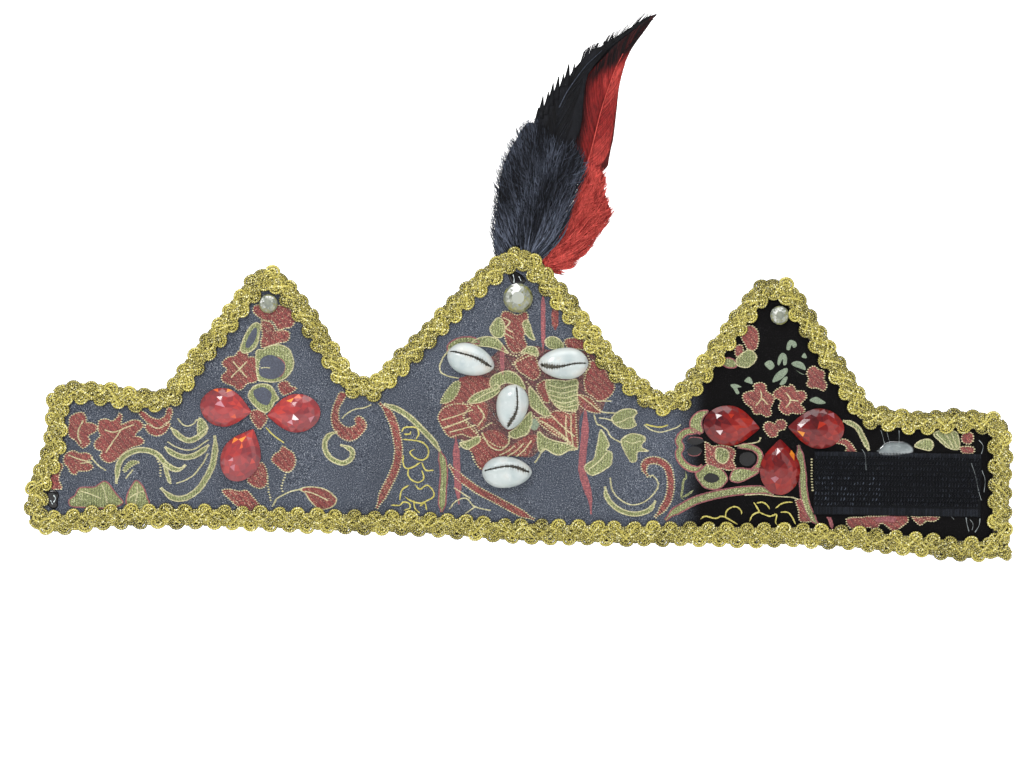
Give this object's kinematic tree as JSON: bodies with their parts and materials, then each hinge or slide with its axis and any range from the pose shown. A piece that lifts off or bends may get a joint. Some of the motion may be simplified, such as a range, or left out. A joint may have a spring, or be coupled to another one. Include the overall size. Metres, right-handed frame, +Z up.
{
  "type": "fabric crown",
  "caption": "Soft three-peaked headband crown that wraps round the head and closes with hook-and-loop tape, trimmed with gimp braid, stones, shells and feathers.",
  "frame": {"origin": "back face of the lining, at mid band under the centre peak", "axes": "+X along the opened-out band towards the hook strip, +Y out of the lining towards the head, +Z up to the peaks; the decorated face looks to -Y"},
  "size_m": [0.5933, 0.014, 0.3227],
  "materials": {
    "core_felt": "stiff felt, matt",
    "lining_felt": "black felt, matt",
    "brocade": "slate to black satin ground with raised red, olive and gold stitched flowers",
    "gimp_gold": "antique gold metallic cord, looped",
    "hook_black": "black woven hook tape",
    "loop_black": "black loop pile tape",
    "red_stone": "faceted red acrylic, orange glints",
    "clear_crystal": "clear faceted, foil backed",
    "shell": "polished cowrie shell",
    "feather_black": "black barbs, blue sheen",
    "feather_red": "red dyed barbs",
    "quill_tape": "black cloth binding over the quills",
    "black_glue": "glossy black bead",
    "clear_glue": "clear hot glue, drawn out in strings"
  },
  "bodies": {
    "root": {"stiffener_centre": "core_felt", "lining": "lining_felt", "face_fabric": "brocade", "braid_bottom": "gimp_gold", "braid_top": "gimp_gold", "hook_strip": "hook_black", "loop_strip": "loop_black", "crystal_centre": "clear_crystal", "cowrie_middle": "shell", "cowrie_bottom": "shell", "quill_binding": "quill_tape"},
    "feathers": {"feather_black_front": "feather_black", "feather_red": "feather_red", "feather_black_rear": "feather_black"},
    "left_1": {"stiffener_left_1": "core_felt", "cowrie_upper_left": "shell"},
    "left_2": {"stiffener_left_2": "core_felt"},
    "left_3": {"stiffener_left_3": "core_felt"},
    "left_4": {"stiffener_left_4": "core_felt", "gem_left_inner": "red_stone", "crystal_left": "clear_crystal"},
    "left_5": {"stiffener_left_5": "core_felt", "gem_left_outer": "red_stone", "gem_left_lower": "red_stone"},
    "left_6": {"stiffener_left_6": "core_felt"},
    "left_7": {"stiffener_left_7": "core_felt"},
    "left_8": {"stiffener_left_8": "core_felt", "glue_corner": "black_glue"},
    "right_1": {"stiffener_right_1": "core_felt", "cowrie_upper_right": "shell"},
    "right_2": {"stiffener_right_2": "core_felt"},
    "right_3": {"stiffener_right_3": "core_felt"},
    "right_4": {"stiffener_right_4": "core_felt", "gem_right_inner": "red_stone", "crystal_right": "clear_crystal"},
    "right_5": {"stiffener_right_5": "core_felt", "gem_right_outer": "red_stone", "gem_right_lower": "red_stone"},
    "right_6": {"stiffener_right_6": "core_felt", "glue_closure": "clear_glue"},
    "right_7": {"stiffener_right_7": "core_felt"},
    "right_8": {"stiffener_right_8": "core_felt"}
  },
  "joints": [
    {"name": "flex_right_1", "type": "hinge", "parent": "root", "child": "right_1", "pos_m": [0.0174, -0.001, 0], "axis": [0, 0, 1], "range_deg": [0, 24.45], "deforming": ["lining", "face_fabric", "braid_bottom", "braid_top", "hook_strip", "loop_strip"]},
    {"name": "flex_right_2", "type": "hinge", "parent": "right_1", "child": "right_2", "pos_m": [0.0522, -0.001, 0], "axis": [0, 0, 1], "range_deg": [0, 24.5], "deforming": ["lining", "face_fabric", "braid_bottom", "braid_top", "hook_strip", "loop_strip"]},
    {"name": "flex_right_3", "type": "hinge", "parent": "right_2", "child": "right_3", "pos_m": [0.087, -0.001, 0], "axis": [0, 0, 1], "range_deg": [0, 24.5], "deforming": ["lining", "face_fabric", "braid_bottom", "braid_top", "hook_strip", "loop_strip"]},
    {"name": "flex_right_4", "type": "hinge", "parent": "right_3", "child": "right_4", "pos_m": [0.1218, -0.001, 0], "axis": [0, 0, 1], "range_deg": [0, 24.5], "deforming": ["lining", "face_fabric", "braid_bottom", "braid_top", "hook_strip", "loop_strip"]},
    {"name": "flex_right_5", "type": "hinge", "parent": "right_4", "child": "right_5", "pos_m": [0.1566, -0.001, 0], "axis": [0, 0, 1], "range_deg": [0, 24.5], "deforming": ["lining", "face_fabric", "braid_bottom", "braid_top", "hook_strip", "loop_strip"]},
    {"name": "flex_right_6", "type": "hinge", "parent": "right_5", "child": "right_6", "pos_m": [0.1914, -0.001, 0], "axis": [0, 0, 1], "range_deg": [0, 24.5], "deforming": ["lining", "face_fabric", "braid_bottom", "braid_top", "hook_strip", "loop_strip"]},
    {"name": "flex_right_7", "type": "hinge", "parent": "right_6", "child": "right_7", "pos_m": [0.2262, -0.001, 0], "axis": [0, 0, 1], "range_deg": [0, 24.5], "deforming": ["lining", "face_fabric", "braid_bottom", "braid_top", "hook_strip", "loop_strip"]},
    {"name": "flex_right_8", "type": "hinge", "parent": "right_7", "child": "right_8", "pos_m": [0.261, -0.001, 0], "axis": [0, 0, 1], "range_deg": [0, 24.5], "deforming": ["lining", "face_fabric", "braid_bottom", "braid_top", "hook_strip", "loop_strip"]},
    {"name": "flex_left_1", "type": "hinge", "parent": "root", "child": "left_1", "pos_m": [-0.0174, -0.001, 0], "axis": [0, 0, -1], "range_deg": [0, 24.5], "deforming": ["lining", "face_fabric", "braid_bottom", "braid_top", "hook_strip", "loop_strip"]},
    {"name": "flex_left_2", "type": "hinge", "parent": "left_1", "child": "left_2", "pos_m": [-0.0522, -0.001, 0], "axis": [0, 0, -1], "range_deg": [0, 24.5], "deforming": ["lining", "face_fabric", "braid_bottom", "braid_top", "hook_strip", "loop_strip"]},
    {"name": "flex_left_3", "type": "hinge", "parent": "left_2", "child": "left_3", "pos_m": [-0.087, -0.001, 0], "axis": [0, 0, -1], "range_deg": [0, 24.5], "deforming": ["lining", "face_fabric", "braid_bottom", "braid_top", "hook_strip", "loop_strip"]},
    {"name": "flex_left_4", "type": "hinge", "parent": "left_3", "child": "left_4", "pos_m": [-0.1218, -0.001, 0], "axis": [0, 0, -1], "range_deg": [0, 24.5], "deforming": ["lining", "face_fabric", "braid_bottom", "braid_top", "hook_strip", "loop_strip"]},
    {"name": "flex_left_5", "type": "hinge", "parent": "left_4", "child": "left_5", "pos_m": [-0.1566, -0.001, 0], "axis": [0, 0, -1], "range_deg": [0, 24.5], "deforming": ["lining", "face_fabric", "braid_bottom", "braid_top", "hook_strip", "loop_strip"]},
    {"name": "flex_left_6", "type": "hinge", "parent": "left_5", "child": "left_6", "pos_m": [-0.1914, -0.001, 0], "axis": [0, 0, -1], "range_deg": [0, 24.5], "deforming": ["lining", "face_fabric", "braid_bottom", "braid_top", "hook_strip", "loop_strip"]},
    {"name": "flex_left_7", "type": "hinge", "parent": "left_6", "child": "left_7", "pos_m": [-0.2262, -0.001, 0], "axis": [0, 0, -1], "range_deg": [0, 24.5], "deforming": ["lining", "face_fabric", "braid_bottom", "braid_top", "hook_strip", "loop_strip"]},
    {"name": "flex_left_8", "type": "hinge", "parent": "left_7", "child": "left_8", "pos_m": [-0.261, -0.001, 0], "axis": [0, 0, -1], "range_deg": [0, 24.5], "deforming": ["lining", "face_fabric", "braid_bottom", "braid_top", "hook_strip", "loop_strip"]},
    {"name": "feather_nod", "type": "hinge", "parent": "root", "child": "feathers", "pos_m": [0, -0.0018, 0.136], "axis": [-1, 0, 0], "range_deg": [-12, 25], "stiffness_Nm_per_rad": 0.02}
  ],
  "couplings": [
    {"joint": "flex_right_2", "follows": "flex_right_1", "ratio": 1},
    {"joint": "flex_right_3", "follows": "flex_right_1", "ratio": 1},
    {"joint": "flex_right_4", "follows": "flex_right_1", "ratio": 1},
    {"joint": "flex_right_5", "follows": "flex_right_1", "ratio": 1},
    {"joint": "flex_right_6", "follows": "flex_right_1", "ratio": 1},
    {"joint": "flex_right_7", "follows": "flex_right_1", "ratio": 1},
    {"joint": "flex_right_8", "follows": "flex_right_1", "ratio": 0.98159},
    {"joint": "flex_left_1", "follows": "flex_right_1", "ratio": 0.96319},
    {"joint": "flex_left_2", "follows": "flex_right_1", "ratio": 0.96319},
    {"joint": "flex_left_3", "follows": "flex_right_1", "ratio": 0.96319},
    {"joint": "flex_left_4", "follows": "flex_right_1", "ratio": 0.96319},
    {"joint": "flex_left_5", "follows": "flex_right_1", "ratio": 0.96319},
    {"joint": "flex_left_6", "follows": "flex_right_1", "ratio": 0.96319},
    {"joint": "flex_left_7", "follows": "flex_right_1", "ratio": 0.96319},
    {"joint": "flex_left_8", "follows": "flex_right_1", "ratio": 0.98159}
  ]
}
